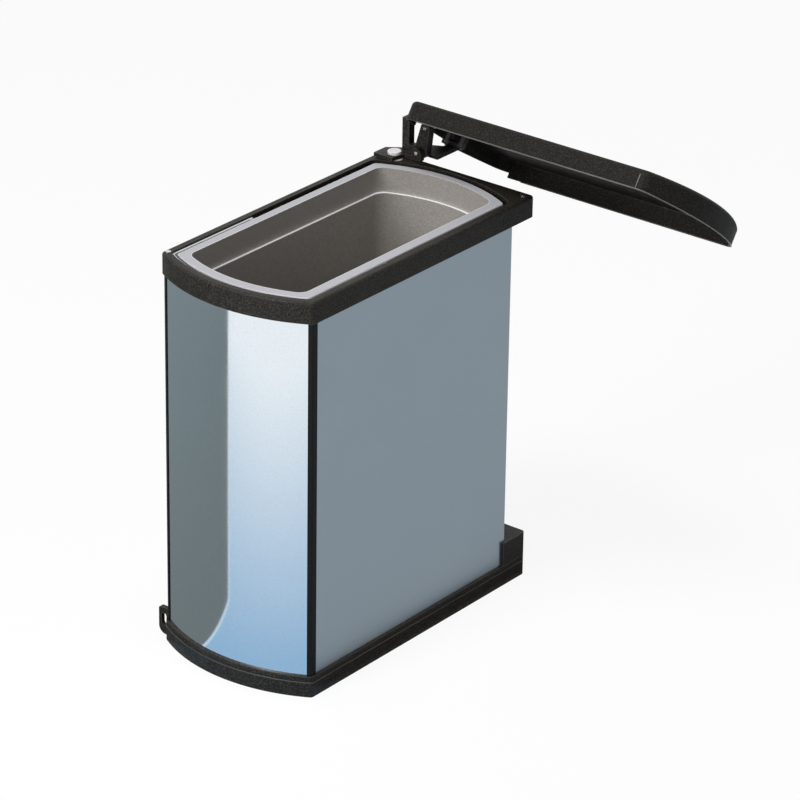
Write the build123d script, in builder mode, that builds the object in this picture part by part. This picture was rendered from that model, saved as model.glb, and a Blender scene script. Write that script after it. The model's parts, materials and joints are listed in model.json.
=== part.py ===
from build123d import *
from math import cos, radians, sin, sqrt
import os

os.makedirs("parts", exist_ok=True)

# Driving dimensions, in millimetres. Front is -Y, up is +Z, the floor is Z = 0.

# Housing
half_width = 86.5
height = 385.0
front_y = -157.0
front_bulge = 24.0
rear_y = 157.0
rear_arc_centre_y = -8.4
flange_depth = 30.0
corner_round = 4.0
fold_round = 0.5
skin_inset = 2.5
skin_thickness = 0.8
rear_bow_half = 62.0
rear_bow = 20.0
tray_height = 20.5
tray_floor = 2.5
tray_edge_round = 1.0
lip_height = 11.0
lip_thickness = 2.5
lip_round = 1.0
well_round = 2.0
upstand_height = 44.0
upstand_wall = 2.5
upstand_top = 5.0
upstand_before_skin = 4.0
frame_height = 20.5
frame_ring = 7.2
frame_edge_round = 2.5
ledge_depth = 10.0
ledge_width = 11.0
opening_corner = 8.0
strip_width = 6.0
strip_front_width = 2.8
strip_proud = 0.8
strip_round = 1.5
rivet_radius = 2.5
rivet_head = 0.8
rear_rivet_inset = 7.5
front_rivet_side = 5.5
front_rivet_behind = 2.5
rivet_shank_radius = 1.4
rivet_length = 6.0
screw_radius = 2.0
screw_head_radius = 3.6
screw_head_height = 1.8

# Inner bin and its handle
rim_gap = 4.3
rim_width = 10.0
rim_drop = 1.0
rim_thickness = 2.5
rim_lip = 2.0
bin_wall = 1.8
bin_step_depth = 24.0
bin_step = 2.5
bin_taper = 1.3
bin_floor = 2.5
bin_corner = 11.0
rim_corner = 5.0
rim_dome = 1.8
handle_thickness = 1.9
handle_play = 0.5
handle_height = 5.0
handle_pivot_y = -45.0
handle_stub_radius = 1.8
handle_drop = 1.0
handle_corner = 6.5

# Swing pivot
pivot_from_side = 20.0
pivot_from_rear = 12.0
column_radius = 7.0
column_bore = 5.5
spigot_length = 12.0
bush_wall = 1.3
bush_flange = 1.0
collar_radius = 9.2
collar_height = 6.0
collar_chamfer = 0.8

# Cabinet-side bracket
plate_gap = 8.0
plate_thickness = 3.0
plate_width = 76.0
plate_height = 280.0
plate_low = 55.0
plate_corner = 8.0
plate_window_width = 30.0
plate_window_height = 140.0
plate_hole_radius = 2.6
plate_hole_across = 50.0
plate_hole_up = 240.0
clamp_height = 26.0
clamp_width = 18.0
clamp_ring_radius = 12.0
clamp_from_end = 34.0
clamp_screw_across = 14.0
clamp_foot = 4.0
clamp_foot_width = 38.0
clamp_round = 1.0

# Arm over the frame, lift arm and lid hinge
arm_gap = 1.2
arm_thickness = 3.4
arm_pad = 16.0
arm_left_trim = 1.5
cap_radius = 6.5
cap_wall = 1.0
cap_round = 0.8
lid_hinge_behind = 41.0
lid_hinge_up = 5.0
lid_droop = 35.0
hinge_pin_radius = 2.0
hinge_knuckle = 3.6
knuckle_length = 12.0
knuckle_from_end = 6.0
ear_thickness = 4.0
arm_strip = 12.0
lift_from_tower = 13.2
lift_pivot_up = 8.2
lift_length = 25.0
lift_lean = 12.0
lift_foot_radius = 7.0
lift_tip_radius = 5.0
lift_depth = 8.0
lug_thickness = 5.5
lug_radius = 5.0
lug_before_rear = 7.0
tower_gap = 1.2
tower_width = 8.0
tower_height = 36.0
gusset_height = 7.0
roller_radius = 4.0
roller_length = 5.0
pin_proud = 1.0
lift_pin_radius = 1.8
pin_chamfer = 0.3

# Lid
lid_gap = 3.4
lid_overlap = 3.0
lid_length = 268.0
lid_start = 49.0
lid_front_bulge = 23.0
lid_rear_bulge = 8.0
lid_height = 18.5
lid_crown = 4.0
lid_wall = 2.0
lid_edge_round = 4.5
lid_corner_round = 12.0
lid_rear_trim = 5.0
hinge_plate_rise = 1.0
hinge_plate_length = 60.0
hinge_plate_near = -26.0
hinge_plate_far = 22.0
lid_screw_bite = 4.2
notch_play = 3.0
low_notch_height = 4.0

# Door loop
loop_reach = 11.0
loop_height = 27.0
loop_low = 2.0
loop_thickness = 4.5
loop_top_round = 8.0
loop_low_round = 2.0
loop_slot_width = 6.0
loop_slot_height = 13.0
loop_slot_up = 15.0
loop_from_front = 5.5
loop_foot = 2.0
loop_foot_length = 20.0
loop_foot_height = 12.0
loop_screw_first = 7.5
loop_screw_pitch = 8.0
loop_screw_bite = 4.0

# Clearances
running = 0.05
slip = 0.2
side_play = 0.3

# Values that follow from the driving dimensions
front_radius = (half_width**2 + front_bulge**2) / (2 * front_bulge)
front_centre_y = front_y - front_bulge + front_radius
rear_arc_radius = rear_y - rear_arc_centre_y
skin_rear_y = rear_y - flange_depth
skin_top = height - frame_height
skin_inner = skin_inset + skin_thickness
pivot_x = pivot_from_side - half_width
pivot_y = rear_y - pivot_from_rear
rim_inset = frame_ring + rim_gap
bin_top = height - rim_drop
ledge_z = height - ledge_depth
arm_low = height + arm_gap
arm_top = arm_low + arm_thickness
hinge_y = rear_y + lid_hinge_behind
hinge_z = height + lid_hinge_up
bush_radius = column_radius + bush_wall
loop_y = front_y + loop_from_front
loop_middle_z = tray_height / 2
loop_screw_spots = [
    (loop_y + loop_screw_first + step * loop_screw_pitch, loop_middle_z) for step in (0, 1)
]


def bowed_front(inset, rear, front_corner, rear_corner):
    """Plan outline of the housing: bowed front, straight sides and a straight rear."""
    half = half_width - inset
    radius = front_radius - inset
    chord_y = front_centre_y - sqrt(radius**2 - half**2)
    with BuildSketch() as outline:
        with BuildLine():
            Polyline((half, chord_y), (half, rear), (-half, rear), (-half, chord_y))
            ThreePointArc((-half, chord_y), (0, front_centre_y - radius), (half, chord_y))
        make_face()
        fillet(outline.vertices().group_by(Axis.Y)[-1], rear_corner)
        fillet(outline.vertices().group_by(Axis.Y)[0], front_corner)
    return outline.sketch


def shell_outline(inset, front_corner, rear_corner):
    """Plan outline of the skins: bowed front, straight sides, rear shoulders and a bowed centre."""
    half = half_width - inset
    radius = front_radius - inset
    chord_y = front_centre_y - sqrt(radius**2 - half**2)
    shoulder_y = skin_rear_y - inset + skin_inset
    with BuildSketch() as outline:
        with BuildLine():
            ThreePointArc((-half, chord_y), (0, front_centre_y - radius), (half, chord_y))
            Polyline((half, chord_y), (half, shoulder_y), (rear_bow_half, shoulder_y))
            ThreePointArc(
                (rear_bow_half, shoulder_y), (0, shoulder_y + rear_bow), (-rear_bow_half, shoulder_y)
            )
            Polyline((-rear_bow_half, shoulder_y), (-half, shoulder_y), (-half, chord_y))
        make_face()
        fillet(outline.vertices().group_by(Axis.X)[0].sort_by(Axis.Y)[-1], rear_corner)
        fillet(outline.vertices().group_by(Axis.X)[-1].sort_by(Axis.Y)[-1], rear_corner)
        fillet(outline.vertices().group_by(Axis.Y)[0], front_corner)
    return outline.sketch


def bowed_both(inset, corner):
    """Plan outline of the opening and the inner bin: bowed at both ends."""
    half = half_width - inset
    front_r = front_radius - inset
    rear_r = rear_arc_radius - inset
    low = front_centre_y - sqrt(front_r**2 - half**2)
    high = rear_arc_centre_y + sqrt(rear_r**2 - half**2)
    with BuildSketch() as outline:
        with BuildLine():
            Line((half, low), (half, high))
            ThreePointArc((half, high), (0, rear_arc_centre_y + rear_r), (-half, high))
            Line((-half, high), (-half, low))
            ThreePointArc((-half, low), (0, front_centre_y - front_r), (half, low))
        make_face()
        fillet(outline.vertices(), corner)
    return outline.sketch


def finish(piece, label):
    """Name a finished piece and write its file."""
    piece.part.label = label
    export_step(piece.part, f"parts/{label}.step")


# Base tray: floor, rim under the skins, locating lip and the hollow rear upstand
lip_inset = skin_inner + slip
upstand_front_y = skin_rear_y - upstand_before_skin
upstand_middle_y = (upstand_front_y + rear_y) / 2
upstand_length = rear_y - upstand_front_y
with BuildPart() as base_tray:
    with BuildSketch():
        add(bowed_front(0, rear_y, corner_round, corner_round))
    extrude(amount=tray_height)
    fillet(base_tray.faces().sort_by(Axis.Z)[-1].edges(), tray_edge_round)
    with BuildSketch(Plane.XY.offset(tray_height)) as upstand:
        with Locations((0, upstand_middle_y)):
            Rectangle(2 * half_width, upstand_length)
        fillet(upstand.vertices().group_by(Axis.Y)[-1], corner_round)
        add(shell_outline(skin_inset - slip, corner_round, fold_round), mode=Mode.SUBTRACT)
    extrude(amount=upstand_height - tray_height)
    with BuildSketch(Plane.XY.offset(tray_height)):
        add(shell_outline(lip_inset, corner_round, lip_round))
    extrude(amount=lip_height)
    with BuildSketch(Plane.XY.offset(tray_floor)):
        add(shell_outline(lip_inset + lip_thickness, well_round, well_round))
    extrude(amount=tray_height + lip_height, mode=Mode.SUBTRACT)
    with BuildSketch():
        with Locations((0, upstand_middle_y)):
            Rectangle(2 * (half_width - upstand_wall), upstand_length - 2 * upstand_wall)
        add(shell_outline(skin_inset - slip - upstand_wall, corner_round, fold_round), mode=Mode.SUBTRACT)
    extrude(amount=upstand_height - upstand_top, mode=Mode.SUBTRACT)
    with Locations((pivot_x, pivot_y, upstand_height)):
        Hole(bush_radius, depth=upstand_top)
    with BuildSketch(Plane.YZ.offset(-half_width)):
        with Locations(*loop_screw_spots):
            Circle(screw_radius)
    extrude(amount=loop_screw_bite, mode=Mode.SUBTRACT)
finish(base_tray, "base_tray")

# Top frame: ring with a ledge for the inner bin, a rear flange and a lip inside the skins
rivet_spots = (
    (half_width - rear_rivet_inset, rear_y - rear_rivet_inset),
    (front_rivet_side - half_width, front_y + front_rivet_behind),
)
with BuildPart() as top_frame:
    with BuildSketch(Plane.XY.offset(skin_top)):
        add(bowed_front(0, rear_y, corner_round, corner_round))
    extrude(amount=frame_height)
    fillet(top_frame.faces().sort_by(Axis.Z)[-1].edges(), frame_edge_round)
    with BuildSketch(Plane.XY.offset(skin_top - lip_height)):
        add(shell_outline(lip_inset, corner_round, lip_round))
    extrude(amount=lip_height)
    with BuildSketch(Plane.XY.offset(ledge_z)):
        add(bowed_both(frame_ring, opening_corner))
    extrude(amount=ledge_depth, mode=Mode.SUBTRACT)
    with BuildSketch(Plane.XY.offset(skin_top - lip_height)):
        add(bowed_both(frame_ring + ledge_width, opening_corner))
    extrude(amount=frame_height + lip_height, mode=Mode.SUBTRACT)
    with Locations((pivot_x, pivot_y, height)):
        Hole(bush_radius, depth=frame_height)
    with Locations(Plane.XY.offset(height)):
        with Locations(*rivet_spots):
            Hole(rivet_shank_radius, depth=rivet_length)
finish(top_frame, "top_frame")

# Small rivets that show as bright dots in two corners of the frame
with BuildPart() as frame_rivets:
    with BuildSketch(Plane.XY.offset(height)):
        with Locations(*rivet_spots):
            Circle(rivet_radius)
    extrude(amount=rivet_head)
    with BuildSketch(Plane.XY.offset(height)):
        with Locations(*rivet_spots):
            Circle(rivet_shank_radius)
    extrude(amount=-rivet_length)
finish(frame_rivets, "frame_rivets")

# Bushes that the column turns in, one in the frame and one in the upstand
for bush_label, bush_low, bush_length, flange_z in (
    ("upper_bush", skin_top, frame_height, skin_top - bush_flange),
    ("lower_bush", upstand_height - upstand_top, upstand_top, upstand_height),
):
    with BuildPart() as bush:
        with BuildSketch(Plane.XY.offset(bush_low)):
            with Locations((pivot_x, pivot_y)):
                Circle(bush_radius)
                Circle(column_radius + running, mode=Mode.SUBTRACT)
        extrude(amount=bush_length)
        with BuildSketch(Plane.XY.offset(flange_z)):
            with Locations((pivot_x, pivot_y)):
                Circle(bush_radius + bush_wall)
                Circle(column_radius + running, mode=Mode.SUBTRACT)
        extrude(amount=bush_flange)
    finish(bush, bush_label)

# Skins: a bowed front sheet, two flat sides and a rear sheet, all standing on the tray
skin_length = skin_top - tray_height
side_half = half_width - skin_inset
side_radius = front_radius - skin_inset
side_front_y = front_centre_y - sqrt(side_radius**2 - side_half**2)
side_start_y = side_front_y + strip_width
front_keep = side_half - strip_front_width
with BuildPart() as front_skin:
    with BuildSketch(Plane.XY.offset(tray_height)):
        add(shell_outline(skin_inset, corner_round, fold_round))
        add(shell_outline(skin_inner, corner_round, fold_round), mode=Mode.SUBTRACT)
        with Locations((0, front_y)):
            Rectangle(2 * front_keep, 4 * front_bulge, mode=Mode.INTERSECT)
    extrude(amount=skin_length)
finish(front_skin, "front_skin")

for side_label, side in (("right_skin", 1), ("left_skin", -1)):
    with BuildPart() as side_skin:
        with BuildSketch(Plane.XY.offset(tray_height)):
            with Locations((side * (side_half - skin_thickness / 2), (side_start_y + skin_rear_y) / 2)):
                Rectangle(skin_thickness, skin_rear_y - side_start_y)
        extrude(amount=skin_length)
    finish(side_skin, side_label)

with BuildPart() as rear_skin:
    with BuildSketch(Plane.XY.offset(tray_height)):
        add(shell_outline(skin_inset, corner_round, fold_round))
        add(shell_outline(skin_inner, corner_round, fold_round), mode=Mode.SUBTRACT)
        with Locations((0, skin_rear_y - skin_thickness)):
            Rectangle(
                2 * (side_half - skin_thickness),
                2 * rear_bow,
                align=(Align.CENTER, Align.MIN),
                mode=Mode.INTERSECT,
            )
    extrude(amount=skin_length)
finish(rear_skin, "rear_skin")

# Corner strips cover the joints between the front sheet and the sides
for strip_label, side in (("right_strip", 1), ("left_strip", -1)):
    with BuildPart() as strip:
        with BuildSketch(Plane.XY.offset(tray_height)):
            add(shell_outline(skin_inset - strip_proud, strip_round, fold_round))
            add(shell_outline(skin_inner, strip_round, fold_round), mode=Mode.SUBTRACT)
            with Locations((side * front_keep, side_start_y)):
                Rectangle(
                    half_width - front_keep,
                    2 * front_bulge,
                    align=(Align.MIN if side > 0 else Align.MAX, Align.MAX),
                    mode=Mode.INTERSECT,
                )
        extrude(amount=skin_length)
    finish(strip, strip_label)

# Inner bin: domed rim with a turned-down lip, a stepped wall and a floor
bin_low = tray_floor + slip
step_z = bin_top - bin_step_depth
wall_inset = rim_inset + rim_width - bin_wall
foot_inset = wall_inset + bin_step
handle_z = bin_top - handle_drop - handle_height / 2
with BuildPart() as inner_bin:
    with BuildSketch(Plane.XY.offset(ledge_z)):
        add(bowed_both(rim_inset, rim_corner))
        add(bowed_both(rim_inset + rim_lip, rim_corner), mode=Mode.SUBTRACT)
    extrude(amount=bin_top - ledge_z)
    with BuildSketch(Plane.XY.offset(bin_top - rim_thickness)):
        add(bowed_both(rim_inset, rim_corner))
    extrude(amount=rim_thickness)
    fillet(inner_bin.faces().sort_by(Axis.Z)[-1].edges(), rim_dome)
    with BuildSketch(Plane.XY.offset(step_z - bin_wall)):
        add(bowed_both(wall_inset, bin_corner))
    extrude(amount=bin_step_depth + bin_wall - rim_thickness)
    with BuildSketch(Plane.XY.offset(bin_low)):
        add(bowed_both(foot_inset + bin_taper, bin_corner + bin_step))
    with BuildSketch(Plane.XY.offset(step_z)):
        add(bowed_both(foot_inset, bin_corner + bin_step))
    loft(ruled=True)
    with BuildSketch(Plane.XY.offset(step_z)):
        add(bowed_both(wall_inset + bin_wall, bin_corner))
    extrude(amount=bin_step_depth, mode=Mode.SUBTRACT)
    with BuildSketch(Plane.XY.offset(bin_low + bin_floor)):
        add(bowed_both(foot_inset + bin_wall + bin_taper, bin_corner + bin_step))
    with BuildSketch(Plane.XY.offset(step_z)):
        add(bowed_both(foot_inset + bin_wall, bin_corner + bin_step))
    loft(ruled=True, mode=Mode.SUBTRACT)
    with BuildSketch(Plane.YZ.offset(-half_width)):
        with Locations((handle_pivot_y, handle_z)):
            Circle(handle_stub_radius + running)
    extrude(amount=rim_inset + rim_lip, mode=Mode.SUBTRACT)
    with BuildSketch(Plane.YZ.offset(half_width)):
        with Locations((handle_pivot_y, handle_z)):
            Circle(handle_stub_radius + running)
    extrude(amount=-rim_inset - rim_lip, mode=Mode.SUBTRACT)
finish(inner_bin, "inner_bin")

# Handle: a flat bail lying round the front of the rim, with stubs in the rim's lip
handle_inset = frame_ring + handle_play
handle_half = half_width - handle_inset
stub_length = rim_inset + rim_lip - handle_inset
with BuildPart() as bail_handle:
    with BuildSketch(Plane.XY.offset(handle_z - handle_height / 2)):
        add(bowed_both(handle_inset, handle_corner))
        add(
            bowed_both(handle_inset + handle_thickness, handle_corner - handle_thickness),
            mode=Mode.SUBTRACT,
        )
        with Locations((0, handle_pivot_y)):
            Rectangle(
                2 * half_width, 2 * half_width, align=(Align.CENTER, Align.MAX), mode=Mode.INTERSECT
            )
    extrude(amount=handle_height)
    for side in (1, -1):
        with BuildSketch(Plane.YZ.offset(side * handle_half)):
            with Locations((handle_pivot_y, handle_z)):
                Circle(handle_height / 2)
        extrude(amount=-side * handle_thickness)
        with BuildSketch(Plane.YZ.offset(side * handle_half)):
            with Locations((handle_pivot_y, handle_z)):
                Circle(handle_stub_radius)
        extrude(amount=-side * stub_length)
finish(bail_handle, "bail_handle")

# Door loop: a slotted lug that the cabinet door pulls the housing out by
side_x = -half_width
with BuildPart() as door_loop:
    with BuildSketch(Plane.XZ.offset(-loop_y)) as loop_face:
        with Locations((side_x, loop_low)):
            Rectangle(loop_reach, loop_height, align=(Align.MAX, Align.MIN))
        fillet(loop_face.vertices().group_by(Axis.X)[0].sort_by(Axis.Z)[-1], loop_top_round)
        fillet(loop_face.vertices().group_by(Axis.X)[0].sort_by(Axis.Z)[0], loop_low_round)
        with Locations((side_x - loop_foot - loop_slot_width / 2, loop_low + loop_slot_up)):
            SlotOverall(loop_slot_height, loop_slot_width, rotation=90, mode=Mode.SUBTRACT)
    extrude(amount=loop_thickness / 2, both=True)
    with BuildSketch(Plane.YZ.offset(side_x - loop_foot)):
        with Locations((loop_y - loop_thickness / 2, loop_middle_z)):
            Rectangle(loop_foot_length, loop_foot_height, align=(Align.MIN, Align.CENTER))
    extrude(amount=loop_foot)
    with Locations(Plane.YZ.offset(side_x)):
        with Locations(*loop_screw_spots):
            Hole(screw_radius, depth=loop_foot)
finish(door_loop, "door_loop")

# Two screws through the foot of the door loop
with BuildPart() as loop_screws:
    with BuildSketch(Plane.YZ.offset(side_x - loop_foot)):
        with Locations(*loop_screw_spots):
            Circle(screw_head_radius)
    extrude(amount=-screw_head_height)
    chamfer(loop_screws.faces().filter_by(Axis.X).group_by(Axis.X)[0].edges(), screw_head_height / 3)
    with BuildSketch(Plane.YZ.offset(side_x - loop_foot)):
        with Locations(*loop_screw_spots):
            Circle(screw_radius)
    extrude(amount=loop_foot + loop_screw_bite)
finish(loop_screws, "loop_screws")

# Swing column, fixed to the cabinet
column_low = upstand_height - upstand_top - side_play - collar_height
with BuildPart() as pivot_column:
    with BuildSketch(Plane.XY.offset(column_low)):
        with Locations((pivot_x, pivot_y)):
            Circle(column_radius)
            Circle(column_bore, mode=Mode.SUBTRACT)
    extrude(amount=arm_low - column_low)
finish(pivot_column, "pivot_column")

# Collar pressed on the column's lower end, under the upstand
with BuildPart() as retaining_collar:
    with BuildSketch(Plane.XY.offset(column_low)):
        with Locations((pivot_x, pivot_y)):
            Circle(collar_radius)
            Circle(column_radius, mode=Mode.SUBTRACT)
    extrude(amount=collar_height)
    chamfer(retaining_collar.faces().sort_by(Axis.Z)[0].outer_wire().edges(), collar_chamfer)
finish(retaining_collar, "retaining_collar")

# Wall plate, screwed to the side wall of the cabinet through four holes
plate_face_x = -half_width - plate_gap
plate_middle_z = plate_low + plate_height / 2
clamp_spots = (plate_low + clamp_from_end, plate_low + plate_height - clamp_from_end)
clamp_screw_spots = [(pivot_y + way * clamp_screw_across, z) for z in clamp_spots for way in (-1, 1)]
with BuildPart() as wall_plate:
    with BuildSketch(Plane.YZ.offset(plate_face_x - plate_thickness)) as plate_face:
        with Locations((pivot_y, plate_middle_z)):
            RectangleRounded(plate_width, plate_height, plate_corner)
            with GridLocations(plate_hole_across, plate_hole_up, 2, 2):
                Circle(plate_hole_radius, mode=Mode.SUBTRACT)
        with Locations(*clamp_screw_spots):
            Circle(screw_radius, mode=Mode.SUBTRACT)
        with Locations((pivot_y, plate_middle_z)):
            RectangleRounded(
                plate_window_width, plate_window_height, plate_corner / 2, mode=Mode.SUBTRACT
            )
    extrude(amount=plate_thickness)
finish(wall_plate, "wall_plate")

# Two clamps hold the column to the wall plate
for clamp_label, clamp_z in (("lower_clamp", clamp_spots[0]), ("upper_clamp", clamp_spots[1])):
    with BuildPart() as clamp:
        with BuildSketch(Plane.XY.offset(clamp_z - clamp_height / 2)):
            with Locations((pivot_x, pivot_y)):
                Circle(clamp_ring_radius)
            with Locations((plate_face_x, pivot_y)):
                Rectangle(pivot_x - plate_face_x, clamp_width, align=(Align.MIN, Align.CENTER))
                Rectangle(clamp_foot, clamp_foot_width, align=(Align.MIN, Align.CENTER))
            with Locations((pivot_x, pivot_y)):
                Circle(column_radius, mode=Mode.SUBTRACT)
        extrude(amount=clamp_height)
        fillet(clamp.edges().filter_by(Axis.Z).group_by(Axis.Y)[0], clamp_round)
        fillet(clamp.edges().filter_by(Axis.Z).group_by(Axis.Y)[-1], clamp_round)
        with Locations(Plane.YZ.offset(plate_face_x + clamp_foot)):
            with Locations(*[(pivot_y + way * clamp_screw_across, clamp_z) for way in (-1, 1)]):
                Hole(screw_radius, depth=clamp_foot)
    finish(clamp, clamp_label)

# Screws through the feet of the clamps and the wall plate
with BuildPart() as clamp_screws:
    with BuildSketch(Plane.YZ.offset(plate_face_x + clamp_foot)):
        with Locations(*clamp_screw_spots):
            Circle(screw_head_radius)
    extrude(amount=screw_head_height)
    chamfer(clamp_screws.faces().filter_by(Axis.X).group_by(Axis.X)[-1].edges(), screw_head_height / 3)
    with BuildSketch(Plane.YZ.offset(plate_face_x + clamp_foot)):
        with Locations(*clamp_screw_spots):
            Circle(screw_radius)
    extrude(amount=-clamp_foot - plate_thickness)
finish(clamp_screws, "clamp_screws")

# Hinge arm: plate over the frame corner, guide tower, lift arm lug and lid hinge knuckle
tower_right_x = -lid_start - lid_rear_bulge - tower_gap
lift_pivot_x = tower_right_x + lift_from_tower
lift_pivot_z = height + lift_pivot_up
lug_front_y = rear_y - lug_before_rear
lift_front_y = lug_front_y + lug_thickness + side_play
lift_rear_y = lift_front_y + lift_depth
gusset_right_x = lift_pivot_x - lift_foot_radius - side_play
neck_front_y = lift_rear_y + side_play
knuckle_left_x = -lid_start + knuckle_from_end
knuckle_right_x = knuckle_left_x + knuckle_length
with BuildPart() as hinge_arm:
    with BuildSketch(Plane.XY.offset(arm_low)):
        with BuildLine():
            Polyline(
                (pivot_x - arm_pad, pivot_y - 2 * arm_pad / 3),
                (pivot_x - arm_pad, pivot_y + arm_pad / 2 - arm_left_trim),
                (tower_right_x - tower_width, lift_rear_y),
                (tower_right_x - tower_width, neck_front_y + arm_strip),
                (knuckle_left_x, neck_front_y + 2 * arm_strip),
                (knuckle_left_x, hinge_y),
                (knuckle_right_x, hinge_y),
                (knuckle_right_x, neck_front_y),
                (gusset_right_x, neck_front_y),
                (gusset_right_x, lug_front_y + lug_thickness),
                (lift_pivot_x + lug_radius, lug_front_y + lug_thickness),
                (lift_pivot_x + lug_radius, lug_front_y),
                (tower_right_x, lug_front_y),
                (pivot_x + arm_pad / 3, pivot_y - 2 * arm_pad / 3),
                close=True,
            )
        make_face()
    extrude(amount=arm_thickness)
    with BuildSketch(Plane.XY.offset(arm_top)):
        with Locations((tower_right_x, lift_front_y)):
            Rectangle(tower_width, lift_depth, align=(Align.MAX, Align.MIN))
    extrude(amount=tower_height - arm_thickness)
    with BuildSketch(Plane.XY.offset(arm_top)):
        with Locations((tower_right_x, lift_front_y)):
            Rectangle(gusset_right_x - tower_right_x, lift_depth, align=(Align.MIN, Align.MIN))
    extrude(amount=gusset_height)
    with BuildSketch(Plane.XZ.offset(-lug_front_y)):
        with Locations((lift_pivot_x, arm_low)):
            Rectangle(2 * lug_radius, lift_pivot_z - arm_low, align=(Align.CENTER, Align.MIN))
        with Locations((lift_pivot_x, lift_pivot_z)):
            Circle(lug_radius)
    extrude(amount=-lug_thickness)
    with BuildSketch(Plane.YZ.offset(knuckle_left_x)):
        with Locations((hinge_y, hinge_z)):
            Circle(hinge_knuckle)
    extrude(amount=knuckle_length)
    with BuildSketch(Plane.YZ.offset(knuckle_left_x)):
        with Locations((hinge_y, hinge_z)):
            Circle(hinge_pin_radius + running)
    extrude(amount=knuckle_length, mode=Mode.SUBTRACT)
    with BuildSketch(Plane.XZ.offset(-lug_front_y)):
        with Locations((lift_pivot_x, lift_pivot_z)):
            Circle(lift_pin_radius)
    extrude(amount=-lug_thickness, mode=Mode.SUBTRACT)
    with BuildSketch(Plane.XY.offset(arm_low)):
        with Locations((pivot_x, pivot_y)):
            Circle(column_bore)
    extrude(amount=-spigot_length)
    with Locations((pivot_x, pivot_y, arm_top)):
        Hole(screw_radius, depth=arm_thickness + spigot_length)
finish(hinge_arm, "hinge_arm")

# Screw that holds the arm in the column, and the plain round cap over it
with BuildPart() as arm_screw:
    with BuildSketch(Plane.XY.offset(arm_top)):
        with Locations((pivot_x, pivot_y)):
            Circle(screw_head_radius)
    extrude(amount=screw_head_height)
    with BuildSketch(Plane.XY.offset(arm_top)):
        with Locations((pivot_x, pivot_y)):
            Circle(screw_radius)
    extrude(amount=-arm_thickness - spigot_length)
finish(arm_screw, "arm_screw")

with BuildPart() as round_cap:
    with BuildSketch(Plane.XY.offset(arm_top)):
        with Locations((pivot_x, pivot_y)):
            Circle(cap_radius)
    extrude(amount=screw_head_height + cap_wall)
    fillet(round_cap.faces().sort_by(Axis.Z)[-1].edges(), cap_round)
    with BuildSketch(Plane.XY.offset(arm_top)):
        with Locations((pivot_x, pivot_y)):
            Circle(screw_head_radius + slip)
    extrude(amount=screw_head_height, mode=Mode.SUBTRACT)
finish(round_cap, "round_cap")

# Lift arm: leans on its pivot pin and carries a roller under the lid
tip_x = lift_pivot_x + lift_length * sin(radians(lift_lean))
tip_z = lift_pivot_z + lift_length * cos(radians(lift_lean))
with BuildPart() as lift_arm:
    with BuildSketch(Plane.XZ.offset(-lift_front_y)) as lift_face:
        with Locations((lift_pivot_x, lift_pivot_z)):
            Circle(lift_foot_radius)
        with Locations((tip_x, tip_z)):
            Circle(lift_tip_radius)
        make_hull()
        with Locations((lift_pivot_x, lift_pivot_z)):
            Circle(lift_pin_radius + running, mode=Mode.SUBTRACT)
        with Locations((tip_x, tip_z)):
            Circle(lift_pin_radius, mode=Mode.SUBTRACT)
    extrude(amount=-lift_depth)
finish(lift_arm, "lift_arm")

pivot_pin_to = lift_rear_y + pin_proud
tip_pin_to = lift_rear_y + side_play + roller_length + pin_proud
for pin_label, pin_x, pin_z, pin_from, pin_to in (
    ("lift_pivot_pin", lift_pivot_x, lift_pivot_z, lug_front_y - pin_proud, pivot_pin_to),
    ("lift_tip_pin", tip_x, tip_z, lift_front_y - pin_proud, tip_pin_to),
):
    with BuildPart() as pin:
        with BuildSketch(Plane.XZ.offset(-pin_from)):
            with Locations((pin_x, pin_z)):
                Circle(lift_pin_radius)
        extrude(amount=pin_from - pin_to)
        chamfer(pin.edges().filter_by(GeomType.CIRCLE), pin_chamfer)
    finish(pin, pin_label)

with BuildPart() as lift_roller:
    with BuildSketch(Plane.XZ.offset(-lift_rear_y - side_play)):
        with Locations((tip_x, tip_z)):
            Circle(roller_radius)
            Circle(lift_pin_radius + running, mode=Mode.SUBTRACT)
    extrude(amount=-roller_length)
finish(lift_roller, "lift_roller")

# Lid, drawn on a plane that turns about its hinge: local X runs to the far side, Y to the hinge end
droop = radians(lid_droop)
lid_across = Vector(0, cos(droop), -sin(droop))
lid_up = Vector(0, sin(droop), cos(droop))
lid_plane = Plane(origin=(0, hinge_y, hinge_z), x_dir=lid_across, z_dir=lid_up)
lid_section = Plane(origin=(0, hinge_y, hinge_z), x_dir=lid_across, z_dir=(1, 0, 0))
lid_near = pivot_y - pivot_from_side - lid_overlap - hinge_y
lid_far = pivot_y - pivot_from_side + 2 * half_width + lid_overlap - hinge_y
lid_middle = (lid_near + lid_far) / 2
lid_low = lid_gap - lid_hinge_up
lid_tip_x = lid_length - lid_start
lid_reach = lid_length + lid_front_bulge + lid_rear_bulge


def lid_outline(inset):
    """Plan outline of the lid in its own plane, bowed at both ends."""
    near = lid_near + inset
    far = lid_far - inset
    low = inset - lid_tip_x
    high = lid_start - inset
    with BuildSketch() as outline:
        with BuildLine():
            Line((far, low), (far, high))
            ThreePointArc((far, high), (lid_middle, high + lid_rear_bulge), (near, high))
            Line((near, high), (near, low))
            ThreePointArc((near, low), (lid_middle, low - lid_front_bulge), (far, low))
        make_face()
        fillet(outline.vertices(), lid_corner_round - inset)
    return outline.sketch


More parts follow.
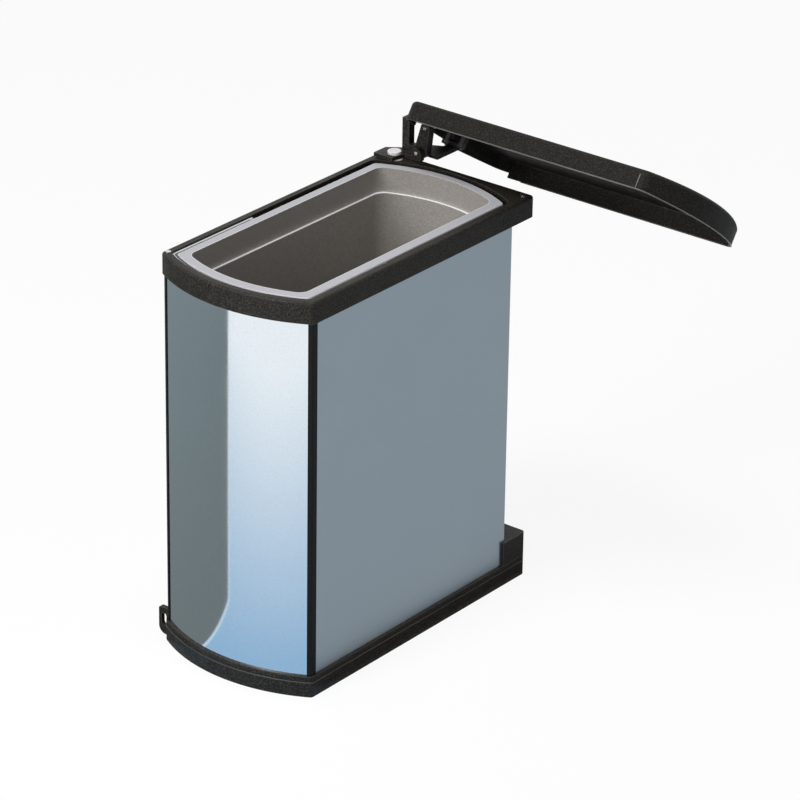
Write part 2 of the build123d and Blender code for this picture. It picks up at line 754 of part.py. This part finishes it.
def lid_block(inset, low, edge):
    """Crowned block of the lid's outline, from low to edge above the hinge, made smaller by inset."""
    with BuildPart() as block:
        with BuildSketch(lid_section.offset(-lid_start - 2 * lid_rear_bulge)):
            with BuildLine():
                Polyline((lid_near, edge), (lid_near, low), (lid_far, low), (lid_far, edge))
                ThreePointArc((lid_far, edge), (lid_middle, edge + lid_crown), (lid_near, edge))
            make_face()
        extrude(amount=lid_reach + 2 * lid_rear_bulge)
        with BuildSketch(lid_plane.offset(low)):
            add(lid_outline(inset))
        extrude(amount=2 * lid_height, mode=Mode.INTERSECT)
    return block.part


lid_edge = lid_low + lid_height
hollow_edge = lid_edge - lid_wall
plate_low_z = hollow_edge + hinge_plate_rise
plate_left_x = knuckle_left_x - side_play - ear_thickness
hinge_plate_x = plate_left_x + hinge_plate_length / 2
hinge_plate_mid = (hinge_plate_far + hinge_plate_near) / 2
lid_screw_along = hinge_plate_length - 4 * screw_head_radius
lid_screw_across = hinge_plate_far - hinge_plate_near - 4 * screw_head_radius
notch_near = lug_front_y - notch_play - hinge_y
notch_step = lift_rear_y + side_play + roller_length + pin_proud + notch_play / 2 - hinge_y
notch_far = hinge_knuckle + notch_play
with BuildPart() as lid_shell:
    add(lid_block(0, lid_low, lid_edge))
    fillet(lid_shell.faces().sort_by(Axis((0, 0, 0), lid_up))[-1].edges(), lid_edge_round)
    add(lid_block(lid_wall, lid_low - lid_wall, hollow_edge), mode=Mode.SUBTRACT)
    for notch_end, notch_depth in ((notch_step, hollow_edge - lid_low), (notch_far, low_notch_height)):
        with BuildSketch(lid_plane.offset(lid_low - lid_wall)):
            with Locations(((notch_near + notch_end) / 2, lid_start + lid_rear_bulge / 2)):
                Rectangle(notch_end - notch_near, 3 * lid_rear_bulge)
        extrude(amount=notch_depth + lid_wall, mode=Mode.SUBTRACT)
    # The lower edge of the hinge end rises to the far side, clear of the frame as the housing swings
    with BuildSketch(lid_section.offset(-lid_start - 2 * lid_rear_bulge)):
        with BuildLine():
            Polyline((0, lid_low), (lid_far, lid_low), (lid_far, lid_low + lid_rear_trim), close=True)
        make_face()
    extrude(amount=2 * lid_rear_bulge + lid_corner_round, mode=Mode.SUBTRACT)
    with BuildSketch(lid_plane.offset(hollow_edge)):
        with Locations((hinge_plate_mid, -hinge_plate_x)):
            with GridLocations(lid_screw_across, lid_screw_along, 2, 2):
                Circle(screw_radius)
    extrude(amount=lid_screw_bite, mode=Mode.SUBTRACT)
finish(lid_shell, "lid_shell")

# Hinge plate, pin and screws inside the lid
with BuildPart() as lid_hinge_plate:
    add(lid_block(lid_wall, lid_low, hollow_edge))
    with BuildSketch(lid_plane.offset(plate_low_z)):
        with Locations((hinge_plate_mid, -hinge_plate_x)):
            Rectangle(hinge_plate_far - hinge_plate_near, hinge_plate_length)
    extrude(amount=lid_height, mode=Mode.INTERSECT)
    for ear_x in (plate_left_x, knuckle_right_x + side_play):
        with BuildSketch(lid_section.offset(ear_x)):
            Circle(hinge_knuckle)
            with Locations((0, plate_low_z / 2)):
                Rectangle(2 * hinge_knuckle, plate_low_z)
            Circle(hinge_pin_radius, mode=Mode.SUBTRACT)
        extrude(amount=ear_thickness)
    with BuildSketch(lid_plane.offset(plate_low_z)):
        with Locations((hinge_plate_mid, -hinge_plate_x)):
            with GridLocations(lid_screw_across, lid_screw_along, 2, 2):
                Circle(screw_radius)
    extrude(amount=lid_height, mode=Mode.SUBTRACT)
finish(lid_hinge_plate, "lid_hinge_plate")

with BuildPart() as lid_hinge_pin:
    with BuildSketch(lid_section.offset(plate_left_x)):
        Circle(hinge_pin_radius)
    extrude(amount=knuckle_length + 2 * side_play + 2 * ear_thickness)
finish(lid_hinge_pin, "lid_hinge_pin")

with BuildPart() as lid_screws:
    with BuildSketch(lid_plane.offset(plate_low_z - screw_head_height)):
        with Locations((hinge_plate_mid, -hinge_plate_x)):
            with GridLocations(lid_screw_across, lid_screw_along, 2, 2):
                Circle(screw_head_radius)
    extrude(amount=screw_head_height)
    with BuildSketch(lid_plane.offset(plate_low_z)):
        with Locations((hinge_plate_mid, -hinge_plate_x)):
            with GridLocations(lid_screw_across, lid_screw_along, 2, 2):
                Circle(screw_radius)
    extrude(amount=hollow_edge + lid_screw_bite - plate_low_z)
finish(lid_screws, "lid_screws")
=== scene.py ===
import json
import math

import bmesh
import bpy
from mathutils import Matrix, Vector


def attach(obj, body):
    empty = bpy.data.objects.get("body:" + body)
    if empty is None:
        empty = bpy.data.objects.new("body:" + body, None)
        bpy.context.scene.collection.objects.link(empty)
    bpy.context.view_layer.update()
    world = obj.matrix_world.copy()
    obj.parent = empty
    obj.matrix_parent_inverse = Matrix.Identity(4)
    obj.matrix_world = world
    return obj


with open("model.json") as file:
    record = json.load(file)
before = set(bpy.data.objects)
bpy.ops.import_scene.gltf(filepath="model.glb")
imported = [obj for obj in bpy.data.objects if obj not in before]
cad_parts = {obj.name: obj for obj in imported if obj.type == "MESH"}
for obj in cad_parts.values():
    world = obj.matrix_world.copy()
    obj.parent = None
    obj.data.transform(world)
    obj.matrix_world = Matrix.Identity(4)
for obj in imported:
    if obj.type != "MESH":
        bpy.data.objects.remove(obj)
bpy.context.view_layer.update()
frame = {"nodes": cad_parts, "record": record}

nodes = frame["nodes"]
scene = bpy.context.scene
MM = 0.001
step_height = 0.360  # of the step inside the bin

# Noise scales, in cycles for each metre
blotch_scale, bin_blotch_scale, cloud_scale = 9.0, 11.0, 7.0
gloss_scale, smudge_scale = 26.0, 16.0
wave_scale, bin_wave_scale, ripple_scale = 60.0, 50.0, 5.0
fleck_scale, bin_fleck_scale = 800.0, 600.0
bin_grain_scale = 1100.0
rolling_scale = 700.0
spot_scale, turning_scale, pit_scale = 400.0, 900.0, 1200.0
noise_roughness = 0.55
speckle_share = 0.45  # of the grain's scale
rolling_stretch = (1.0, 1.0, 0.8)

# Bump depths, in metres
wave_depth = 0.00008
bin_grain_depth = 0.00003
pit_depth = 0.00002


# Materials

def new_material(name):
    """A material with its node tree and its main shader."""
    material = bpy.data.materials.new(name)
    material.use_nodes = True
    return material, material.node_tree, material.node_tree.nodes["Principled BSDF"]


def noise(tree, scale, detail, stretch=(1, 1, 1)):
    """Noise in object coordinates; scale is in cycles for each metre."""
    coordinates = tree.nodes.new("ShaderNodeTexCoord")
    mapping = tree.nodes.new("ShaderNodeMapping")
    mapping.inputs["Scale"].default_value = stretch
    texture = tree.nodes.new("ShaderNodeTexNoise")
    texture.inputs["Scale"].default_value = scale
    texture.inputs["Detail"].default_value = detail
    texture.inputs["Roughness"].default_value = noise_roughness
    tree.links.new(coordinates.outputs["Object"], mapping.inputs["Vector"])
    tree.links.new(mapping.outputs["Vector"], texture.inputs["Vector"])
    return texture.outputs[0]


def spread(tree, value, low, high, start=0.3, end=0.7):
    """Maps a value between start and end onto low to high; the defaults suit noise."""
    node = tree.nodes.new("ShaderNodeMapRange")
    node.inputs["From Min"].default_value = start
    node.inputs["From Max"].default_value = end
    node.inputs["To Min"].default_value = low
    node.inputs["To Max"].default_value = high
    tree.links.new(value, node.inputs["Value"])
    return node.outputs["Result"]


def blend_colours(tree, factor, first, second):
    """Mixes two colours, each a tuple or the output of a node."""
    node = tree.nodes.new("ShaderNodeMix")
    node.data_type = "RGBA"
    tree.links.new(factor, node.inputs[0])
    for socket, colour in ((node.inputs[6], first), (node.inputs[7], second)):
        if isinstance(colour, tuple):
            socket.default_value = (*colour, 1.0)
        else:
            tree.links.new(colour, socket)
    return node.outputs[2]


def darker(colour, share):
    """The colour with each channel cut to a share of itself."""
    return tuple(share * value for value in colour)


def bump(tree, height, depth, below=None):
    """A bump of the given depth in metres over the normal below it."""
    node = tree.nodes.new("ShaderNodeBump")
    node.inputs["Strength"].default_value = 1.0
    node.inputs["Distance"].default_value = depth
    tree.links.new(height, node.inputs["Height"])
    if below is not None:
        tree.links.new(below, node.inputs["Normal"])
    return node.outputs["Normal"]


def edge_mask(tree, radius, gain):
    """0 on flat faces, rising along the edges that hands rub; the lightening it drives is partly that
    wear and partly a painted edge highlight.
    """
    rounded = tree.nodes.new("ShaderNodeBevel")
    rounded.samples = 4
    rounded.inputs["Radius"].default_value = radius
    geometry = tree.nodes.new("ShaderNodeNewGeometry")
    product = tree.nodes.new("ShaderNodeVectorMath")
    product.operation = "DOT_PRODUCT"
    tree.links.new(rounded.outputs["Normal"], product.inputs[0])
    tree.links.new(geometry.outputs["Normal"], product.inputs[1])
    return spread(tree, product.outputs["Value"], gain, 0.0, start=0.8, end=1.0)


def moulded_plastic(
    name, colour, second, roughness, grain, depth, edge_wear_and_highlight=None, specular=0.5, coat=0.0, fleck=None
):
    """Plastic with a moulded grain, uneven gloss, faint blotches, flecks, and edges lightened partly by
    wear and partly as a painted highlight.
    """
    material, tree, shader = new_material(name)
    blotches = spread(tree, noise(tree, blotch_scale, 4.0), 0.0, 1.0)
    speckle = spread(tree, noise(tree, grain * speckle_share, 2.0), 0.0, 0.6)
    tint = blend_colours(tree, blotches, colour, second)
    tint = blend_colours(tree, speckle, tint, darker(colour, 0.72))
    if fleck:
        flecks = spread(tree, noise(tree, fleck_scale, 2.0), 0.0, 1.0, start=0.45, end=0.75)
        tint = blend_colours(tree, flecks, tint, fleck)
    # Lighter along the edges: partly wear, partly a painted edge highlight.
    if edge_wear_and_highlight:
        rubbed_and_highlit = edge_mask(tree, radius=0.9 * MM, gain=0.75)
        tint = blend_colours(tree, rubbed_and_highlit, tint, edge_wear_and_highlight)
    tree.links.new(tint, shader.inputs["Base Color"])
    gloss = spread(tree, noise(tree, gloss_scale, 5.0), roughness - 0.06, roughness + 0.07)
    tree.links.new(gloss, shader.inputs["Roughness"])
    shader.inputs["Specular IOR Level"].default_value = specular
    shader.inputs["Coat Weight"].default_value = coat
    shader.inputs["Coat Roughness"].default_value = 0.08
    waves = bump(tree, noise(tree, wave_scale, 2.0), wave_depth)
    fine = bump(tree, noise(tree, grain, 2.0), depth, waves)
    tree.links.new(fine, shader.inputs["Normal"])
    return material


def bin_plastic(name):
    """Grey bin plastic: faces that point up above the step are painted paler than the walls, as painted
    light from above, with a near-white painted highlight along their edges and on the step ledge; the
    walls are a darker brown-grey, as painted shade, with spark grain.
    """
    # Lit and shaded copies of one plastic: a darker brown-grey on the walls as painted shade, and pale
    # tones and near-white painted highlights on the faces that point up.
    shaded_wall_colour, shaded_wall_blotch, wall_fleck = (0.44, 0.415, 0.39), (0.39, 0.365, 0.34), (0.29, 0.265, 0.245)
    lit_top_colour, top_edge_highlight, step_ledge_highlight = (0.46, 0.465, 0.495), (0.88, 0.885, 0.90), (0.90, 0.90, 0.91)
    material, tree, shader = new_material(name)
    geometry = tree.nodes.new("ShaderNodeNewGeometry")
    normal = tree.nodes.new("ShaderNodeSeparateXYZ")
    tree.links.new(geometry.outputs["Normal"], normal.inputs["Vector"])
    coordinates = tree.nodes.new("ShaderNodeTexCoord")
    place = tree.nodes.new("ShaderNodeSeparateXYZ")
    tree.links.new(coordinates.outputs["Object"], place.inputs["Vector"])
    # Painted light: faces that point up, above the step, take the pale colours, and the walls keep the
    # darker brown-grey as painted shade.
    up_facing_light_mask = spread(tree, normal.outputs["Z"], 0.0, 1.0, start=0.25, end=0.6)
    high = spread(
        tree, place.outputs["Z"], 0.0, 1.0, start=step_height - 2 * MM, end=step_height - MM
    )
    painted_top_light_mask = tree.nodes.new("ShaderNodeMath")
    painted_top_light_mask.operation = "MULTIPLY"
    tree.links.new(up_facing_light_mask, painted_top_light_mask.inputs[0])
    tree.links.new(high, painted_top_light_mask.inputs[1])
    blotches = spread(tree, noise(tree, bin_blotch_scale, 4.0), 0.0, 1.0)
    shaded_wall = blend_colours(tree, blotches, shaded_wall_colour, shaded_wall_blotch)
    flecks = spread(tree, noise(tree, bin_fleck_scale, 2.0), 0.0, 0.8)
    shaded_wall = blend_colours(tree, flecks, shaded_wall, wall_fleck)
    # Painted highlight along the edges of the up-facing faces.
    edges = edge_mask(tree, radius=1.8 * MM, gain=1.8)
    smooth = blend_colours(tree, edges, lit_top_colour, top_edge_highlight)
    # Painted highlight on the step ledge: up-facing faces at the step's height are near white.
    step = spread(
        tree, place.outputs["Z"], 1.0, 0.0, start=step_height + 2 * MM, end=step_height + 4 * MM
    )
    smooth = blend_colours(tree, step, smooth, step_ledge_highlight)
    tint = blend_colours(tree, painted_top_light_mask.outputs["Value"], shaded_wall, smooth)
    tree.links.new(tint, shader.inputs["Base Color"])
    gloss = spread(tree, noise(tree, gloss_scale, 5.0), 0.34, 0.46)
    tree.links.new(gloss, shader.inputs["Roughness"])
    shader.inputs["Specular IOR Level"].default_value = 0.35
    waves = bump(tree, noise(tree, bin_wave_scale, 2.0), wave_depth)
    fine = bump(tree, noise(tree, bin_grain_scale, 2.0), bin_grain_depth, waves)
    tree.links.new(fine, shader.inputs["Normal"])
    return material


def sheet_metal(name, colour, second, roughness, streak, ripple, smudge):
    """Metal sheet with fine rolling marks, a slight ripple and faint smudges."""
    material, tree, shader = new_material(name)
    cloud = spread(tree, noise(tree, cloud_scale, 5.0), 0.0, 1.0)
    lines = noise(tree, rolling_scale, 4.0, rolling_stretch)
    tint = blend_colours(tree, cloud, colour, second)
    shade = spread(tree, lines, 0.0, 0.55)
    tint = blend_colours(tree, shade, tint, darker(colour, 0.88))
    tree.links.new(tint, shader.inputs["Base Color"])
    shader.inputs["Metallic"].default_value = 1.0
    wiped = spread(
        tree, noise(tree, smudge_scale, 6.0), roughness - smudge / 2, roughness + smudge
    )
    tree.links.new(wiped, shader.inputs["Roughness"])
    rolled = bump(tree, noise(tree, ripple_scale, 1.0), ripple)
    scratches = bump(tree, lines, streak, rolled)
    tree.links.new(scratches, shader.inputs["Normal"])
    return material


def plated(name, colour, roughness):
    """Small plated steel hardware with turning marks and spots."""
    material, tree, shader = new_material(name)
    spots = spread(tree, noise(tree, spot_scale, 4.0), 0.0, 1.0)
    tint = blend_colours(tree, spots, colour, darker(colour, 0.7))
    tree.links.new(tint, shader.inputs["Base Color"])
    shader.inputs["Metallic"].default_value = 1.0
    marks = spread(tree, noise(tree, turning_scale, 3.0), roughness, roughness + 0.15)
    tree.links.new(marks, shader.inputs["Roughness"])
    pits = bump(tree, noise(tree, pit_scale, 2.0), pit_depth)
    tree.links.new(pits, shader.inputs["Normal"])
    return material


# One finish for each material slot of the record
finishes = {
    "black_plastic": moulded_plastic(
        "moulded black plastic", (0.0048, 0.0043, 0.0036), (0.0075, 0.0067, 0.0054),
        roughness=0.5, grain=1500.0, depth=0.00004,
        edge_wear_and_highlight=(0.13, 0.12, 0.105), specular=0.2, fleck=(0.058, 0.05, 0.039),
    ),
    "lid_plastic": moulded_plastic(
        "grained lid plastic", (0.004, 0.0036, 0.003), (0.0065, 0.0058, 0.0048),
        roughness=0.52, grain=1100.0, depth=0.00006,
        edge_wear_and_highlight=(0.15, 0.14, 0.125), specular=0.13, fleck=(0.034, 0.03, 0.023),
    ),
    "black_trim": moulded_plastic(
        "black joint strip", (0.005, 0.005, 0.005), (0.007, 0.007, 0.007),
        roughness=0.45, grain=1800.0, depth=0.00002, specular=0.15,
    ),
    "polished_steel": sheet_metal(
        "polished steel sheet", (0.80, 0.83, 0.87), (0.77, 0.81, 0.86),
        roughness=0.085, streak=0.000002, ripple=0.00006, smudge=0.03,
    ),
    "satin_steel": sheet_metal(
        "satin steel sheet", (0.50, 0.555, 0.60), (0.48, 0.54, 0.585),
        roughness=0.30, streak=0.000004, ripple=0.00002, smudge=0.05,
    ),
    "bright_steel": plated("bright plated steel", (0.80, 0.80, 0.78), roughness=0.16),
    "coated_steel": moulded_plastic(
        "black powder coat", (0.025, 0.025, 0.026), (0.032, 0.032, 0.033),
        roughness=0.48, grain=700.0, depth=0.00006, edge_wear_and_highlight=(0.12, 0.12, 0.12), specular=0.4,
    ),
    "grey_liner": bin_plastic("grey bin plastic"),
    "pale_handle": moulded_plastic(
        "near-white handle plastic", (0.88, 0.885, 0.90), (0.84, 0.845, 0.87),
        roughness=0.24, grain=1600.0, depth=0.00001, coat=0.3,
    ),
    "white_nylon": moulded_plastic(
        "natural nylon", (0.78, 0.77, 0.72), (0.74, 0.73, 0.68),
        roughness=0.4, grain=1400.0, depth=0.00002,
    ),
    "white_cap": moulded_plastic(
        "glossy white cap plastic", (0.84, 0.84, 0.83), (0.80, 0.80, 0.79),
        roughness=0.2, grain=1600.0, depth=0.00001, coat=0.4,
    ),
}
for subpart in frame["record"]["subparts"]:
    node = nodes.get(subpart["node"])
    if node is None:
        continue
    finish = finishes[subpart["material_slot"]]
    if not node.material_slots:
        node.data.materials.append(finish)
    for slot in node.material_slots:
        slot.material = finish


# Moulded beads that the CAD leaves out: round the lid's lower edge, at its nose and round the tray;
# their light colours are partly wear and partly painted highlights

bead_radius = 0.6 * MM
bead_sides = 8
corner_steps, bow_steps = 8, 40
weld_distance = 0.01 * MM


def bow_radius(half, bow):
    """Radius of the arc that rises by bow over twice the half width."""
    return (half ** 2 + bow ** 2) / (2 * bow)


def bowed_path(half, radius, centre, corner, left_end, right_end):
    """Points along one side, round the bowed end and back along the other side."""
    inner = half - corner
    turn = centre - math.sqrt((radius - corner) ** 2 - inner ** 2)
    swing = math.asin(inner / (radius - corner))
    down = 1.5 * math.pi
    arcs = (
        (-inner, turn, corner, math.pi, down - swing, corner_steps),
        (0.0, centre, radius, down - swing, down + swing, bow_steps),
        (inner, turn, corner, down + swing, 2 * math.pi, corner_steps),
    )
    points = [(-half, left_end)]
    for middle, along, reach, start, end, steps in arcs:
        for step in range(steps + 1):
            angle = start + (end - start) * step / steps
            points.append((middle + reach * math.cos(angle), along + reach * math.sin(angle)))
    points.append((half, right_end))
    return points


def bead(name, points, up, body, material):
    """A round bead swept along points that lie in the plane square to up."""
    vertices = []
    for index, point in enumerate(points):
        before = points[max(index - 1, 0)]
        after = points[min(index + 1, len(points) - 1)]
        across = (after - before).normalized().cross(up)
        for side in range(bead_sides):
            angle = 2 * math.pi * side / bead_sides
            offset = math.cos(angle) * across + math.sin(angle) * up
            vertices.append(point + bead_radius * offset)
    faces = []
    for ring in range(len(points) - 1):
        for side in range(bead_sides):
            beside = (side + 1) % bead_sides
            first, second = ring * bead_sides, (ring + 1) * bead_sides
            faces.append((first + side, first + beside, second + beside, second + side))
    last = (len(points) - 1) * bead_sides
    faces.append(tuple(reversed(range(bead_sides))))
    faces.append(tuple(range(last, last + bead_sides)))
    mesh = bpy.data.meshes.new(name)
    mesh.from_pydata(vertices, [], faces)
    mesh.polygons.foreach_set("use_smooth", [len(face) == 4 for face in faces])
    shape = bmesh.new()
    shape.from_mesh(mesh)
    bmesh.ops.remove_doubles(shape, verts=shape.verts, dist=weld_distance)
    bmesh.ops.recalc_face_normals(shape, faces=shape.faces)
    shape.to_mesh(mesh)
    shape.free()
    mesh.materials.append(material)
    piece = bpy.data.objects.new(name, mesh)
    scene.collection.objects.link(piece)
    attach(piece, body)


# Light bead colours: partly wear, partly a painted highlight along each bead.
tray_bead_wear_and_highlight = moulded_plastic(
    "rubbed black bead", (0.035, 0.032, 0.028), (0.055, 0.051, 0.045),
    roughness=0.38, grain=1500.0, depth=0.00002, specular=0.4,
)
lid_edge_wear_and_highlight = moulded_plastic(
    "rubbed lid edge", (0.17, 0.16, 0.142), (0.12, 0.113, 0.10),
    roughness=0.36, grain=1500.0, depth=0.00002, specular=0.45,
)

# The lid at rest, turned by droop about its hinge
droop = math.radians(35.0)
lid_across = Vector((0.0, math.cos(droop), -math.sin(droop)))
lid_up = Vector((0.0, math.sin(droop), math.cos(droop)))
lid_hinge = Vector((0.0, 198.0, 390.0)) * MM
lid_half = 89.5 * MM
lid_middle = 13.5 * MM  # from the hinge to the lid's middle line
lid_low = -1.6 * MM  # the lower edge, from the hinge
lid_edge = 16.9 * MM  # the upper edge of the side, from the hinge
lid_tip, lid_bow, lid_corner = 219.0 * MM, 23.0 * MM, 12.0 * MM
lid_left_end, lid_right_end = 34.0 * MM, 22.0 * MM
lid_radius = bow_radius(lid_half, lid_bow)
lid_centre = -lid_tip - lid_bow + lid_radius


def on_lid(across, along, rise):
    """A point in the lid's own plane, as the lid lies at rest."""
    return lid_hinge + (lid_middle + across) * lid_across + Vector((-along, 0.0, 0.0)) + rise * lid_up


lid_path = bowed_path(lid_half, lid_radius, lid_centre, lid_corner, lid_left_end, lid_right_end)
bead(
    "lid_edge_bead", [on_lid(across, along, lid_low) for across, along in lid_path], lid_up,
    "lid", lid_edge_wear_and_highlight,
)
rib_along = lid_centre - math.sqrt((lid_radius - lid_corner) ** 2 - (lid_half - lid_corner) ** 2)
rib_below_edge = 4.5 * MM
rib_rises = (lid_low, 0.5 * (lid_low + lid_edge), lid_edge - rib_below_edge)
bead(
    "lid_corner_rib", [on_lid(-lid_half, rib_along, rise) for rise in rib_rises],
    Vector((1.0, 0.0, 0.0)), "lid", lid_edge_wear_and_highlight,
)

tray_half, tray_bow, tray_front, tray_corner = 86.5 * MM, 24.0 * MM, -157.0 * MM, 4.0 * MM
tray_left_end, tray_right_end = -120.0 * MM, 152.0 * MM
tray_bead_height = 14.5 * MM
tray_radius = bow_radius(tray_half, tray_bow)
tray_centre = tray_front - tray_bow + tray_radius
tray_path = bowed_path(
    tray_half, tray_radius, tray_centre, tray_corner, tray_left_end, tray_right_end
)
bead(
    "tray_bead", [Vector((across, along, tray_bead_height)) for across, along in tray_path],
    Vector((0.0, 0.0, 1.0)), "housing", tray_bead_wear_and_highlight,
)


# Stage: floor, reflection cards, lamps and camera

def flat_card(name, corners, height, material, glossy_only=True):
    """A level card through the given corners."""
    mesh = bpy.data.meshes.new(name)
    mesh.from_pydata([(x, y, height) for x, y in corners], [], [tuple(range(len(corners)))])
    mesh.materials.append(material)
    card = bpy.data.objects.new(name, mesh)
    scene.collection.objects.link(card)
    if glossy_only:
        card.visible_camera = False
        card.visible_diffuse = False
        card.visible_shadow = False
        card.visible_transmission = False
        card.visible_volume_scatter = False


def emptied_tree(holder):
    """The node tree of a material or world, with nothing in it."""
    holder.use_nodes = True
    holder.node_tree.nodes.clear()
    return holder.node_tree


def glow_material(name, near, far, start, end, axis):
    """An even glow that changes from near to far along one axis of the floor."""
    material = bpy.data.materials.new(name)
    tree = emptied_tree(material)
    output = tree.nodes.new("ShaderNodeOutputMaterial")
    glow = tree.nodes.new("ShaderNodeEmission")
    geometry = tree.nodes.new("ShaderNodeNewGeometry")
    parts = tree.nodes.new("ShaderNodeSeparateXYZ")
    tree.links.new(geometry.outputs["Position"], parts.inputs["Vector"])
    along = spread(tree, parts.outputs[axis], 0.0, 1.0, start, end)
    tree.links.new(blend_colours(tree, along, near, far), glow.inputs["Color"])
    tree.links.new(glow.outputs["Emission"], output.inputs["Surface"])
    return material


def floor_material():
    """Pale floor: near white to the camera, and it still takes the object's soft shadow."""
    camera_glow = 0.9
    material = bpy.data.materials.new("pale floor")
    tree = emptied_tree(material)
    output = tree.nodes.new("ShaderNodeOutputMaterial")
    diffuse = tree.nodes.new("ShaderNodeBsdfDiffuse")
    diffuse.inputs["Color"].default_value = (0.95, 0.95, 0.95, 1.0)
    glow = tree.nodes.new("ShaderNodeEmission")
    glow.inputs["Color"].default_value = (1.0, 1.0, 1.0, 1.0)
    path = tree.nodes.new("ShaderNodeLightPath")
    share = tree.nodes.new("ShaderNodeMath")
    share.operation = "MULTIPLY"
    share.inputs[1].default_value = camera_glow
    tree.links.new(path.outputs["Is Camera Ray"], share.inputs[0])
    mixed = tree.nodes.new("ShaderNodeMixShader")
    tree.links.new(share.outputs["Value"], mixed.inputs["Fac"])
    tree.links.new(diffuse.outputs["BSDF"], mixed.inputs[1])
    tree.links.new(glow.outputs["Emission"], mixed.inputs[2])
    tree.links.new(mixed.outputs["Shader"], output.inputs["Surface"])
    return material


floor_half = 9.0
floor_corners = [(across * floor_half, along * floor_half) for across, along in
                 ((-1, -1), (1, -1), (1, 1), (-1, 1))]
flat_card("floor", floor_corners, height=0.0, material=floor_material(), glossy_only=False)

# What the sheets mirror. The front sheet shows a pale card that turns blue close to the sheet,
# with a dark card over its left part and a light line between the two. The outlines of the dark
# card and the line were found by tracing rays from the camera at the photograph's place.
flat_card(
    "front_card", [(-3.0, -0.12), (-3.0, -4.0), (4.0, -4.0), (4.0, -0.12)], height=1 * MM,
    material=glow_material(
        "front card glow", near=(0.345, 0.55, 0.76), far=(1.02, 1.06, 1.06),
        start=-0.22, end=-0.84, axis="Y",
    ),
)
flat_card(
    "left_card",
    [
        (-0.092, -0.06), (-0.079, -0.163), (-0.055, -0.190), (-0.066, -0.232), (-0.080, -0.298),
        (-0.200, -0.467), (-0.329, -0.654), (-0.455, -0.839), (-1.9, -2.95), (-3.2, -2.95),
        (-3.2, 0.3),
    ],
    height=2 * MM,
    material=glow_material(
        "left card glow", near=(0.18, 0.215, 0.215), far=(0.225, 0.275, 0.285),
        start=-0.10, end=-0.9, axis="X",
    ),
)
line_left = [
    (-0.055, -0.190), (-0.066, -0.232), (-0.080, -0.298), (-0.200, -0.467), (-0.455, -0.839),
]
line_narrowing, line_width, line_lead = 0.97, 0.004, 0.002
line_right = [(x * line_narrowing + line_width, y + line_lead) for x, y in reversed(line_left)]
flat_card(
    "edge_card", line_left + line_right, height=3 * MM,
    material=glow_material(
        "edge card glow", near=(0.62, 0.78, 0.9), far=(1.06, 1.08, 1.08),
        start=-0.2, end=-0.6, axis="Y",
    ),
)
flat_card(
    "right_card", [(0.11, -0.12), (4.0, -1.4), (4.0, 5.0), (0.11, 5.0)], height=2 * MM,
    material=glow_material(
        "right card glow", near=(0.42, 0.46, 0.49), far=(0.45, 0.49, 0.52),
        start=0.1, end=1.2, axis="X",
    ),
)
flat_card(
    "tray_card", [(0.0885, -0.14), (0.11, -0.14), (0.11, 0.30), (0.0885, 0.30)], height=2 * MM,
    material=glow_material(
        "dark card glow", near=(0.03, 0.03, 0.03), far=(0.05, 0.05, 0.05),
        start=0.0, end=1.0, axis="X",
    ),
)


def background(tree, strength):
    """An even white background."""
    node = tree.nodes.new("ShaderNodeBackground")
    node.inputs["Color"].default_value = (1.0, 1.0, 1.0, 1.0)
    node.inputs["Strength"].default_value = strength
    return node


def either(tree, first, second):
    """1 where one of two ray kinds is met."""
    node = tree.nodes.new("ShaderNodeMath")
    node.operation = "MAXIMUM"
    tree.links.new(first, node.inputs[0])
    tree.links.new(second, node.inputs[1])
    return node.outputs["Value"]


# The world is white to the camera, in reflections and through clear parts, and soft as a light
world = bpy.data.worlds.new("studio")
scene.world = world
sky = emptied_tree(world)
sky_output = sky.nodes.new("ShaderNodeOutputWorld")
soft = background(sky, strength=0.25)
white = background(sky, strength=1.0)
rays = sky.nodes.new("ShaderNodeLightPath")
direct = either(sky, rays.outputs["Is Camera Ray"], rays.outputs["Is Glossy Ray"])
seen = either(sky, direct, rays.outputs["Is Transmission Ray"])
sky_mix = sky.nodes.new("ShaderNodeMixShader")
sky.links.new(seen, sky_mix.inputs["Fac"])
sky.links.new(soft.outputs["Background"], sky_mix.inputs[1])
sky.links.new(white.outputs["Background"], sky_mix.inputs[2])
sky.links.new(sky_mix.outputs["Shader"], sky_output.inputs["Surface"])

lamp_size = 1.2
lamp_target = Vector((0.0, 0.0, 0.25))


def soft_lamp(name, place, power):
    """A square area lamp that points at the middle of the object."""
    data = bpy.data.lights.new(name, "AREA")
    data.shape = "SQUARE"
    data.size = lamp_size
    data.energy = power
    lamp = bpy.data.objects.new(name, data)
    lamp.location = place
    aim = lamp_target - Vector(place)
    lamp.rotation_euler = aim.to_track_quat("-Z", "Y").to_euler()
    scene.collection.objects.link(lamp)


soft_lamp("top", place=(0.1, -0.5, 3.2), power=44.0)
soft_lamp("key", place=(-0.4, -2.9, 1.5), power=60.0)

# Camera at the photograph's place
camera_place = (2.2542, -2.7939, 1.9067)
camera_back = Vector((0.5588, -0.7109, 0.4271)).normalized()
camera_turn = math.radians(38.169)
camera_roll = math.radians(-0.819)
level_right = Vector((math.cos(camera_turn), math.sin(camera_turn), 0.0))
level_up = camera_back.cross(level_right)
camera_right = math.cos(camera_roll) * level_right - math.sin(camera_roll) * level_up
camera_up = math.sin(camera_roll) * level_right + math.cos(camera_roll) * level_up
camera_data = bpy.data.cameras.new("camera")
camera_data.sensor_width = 36.0
camera_data.lens = 196.9
camera_data.clip_end = 60.0
camera = bpy.data.objects.new("camera", camera_data)
rotation = Matrix((camera_right, camera_up, camera_back)).transposed().to_4x4()
camera.matrix_world = Matrix.Translation(camera_place) @ rotation
scene.collection.objects.link(camera)
scene.camera = camera

scene.view_settings.view_transform = "Standard"
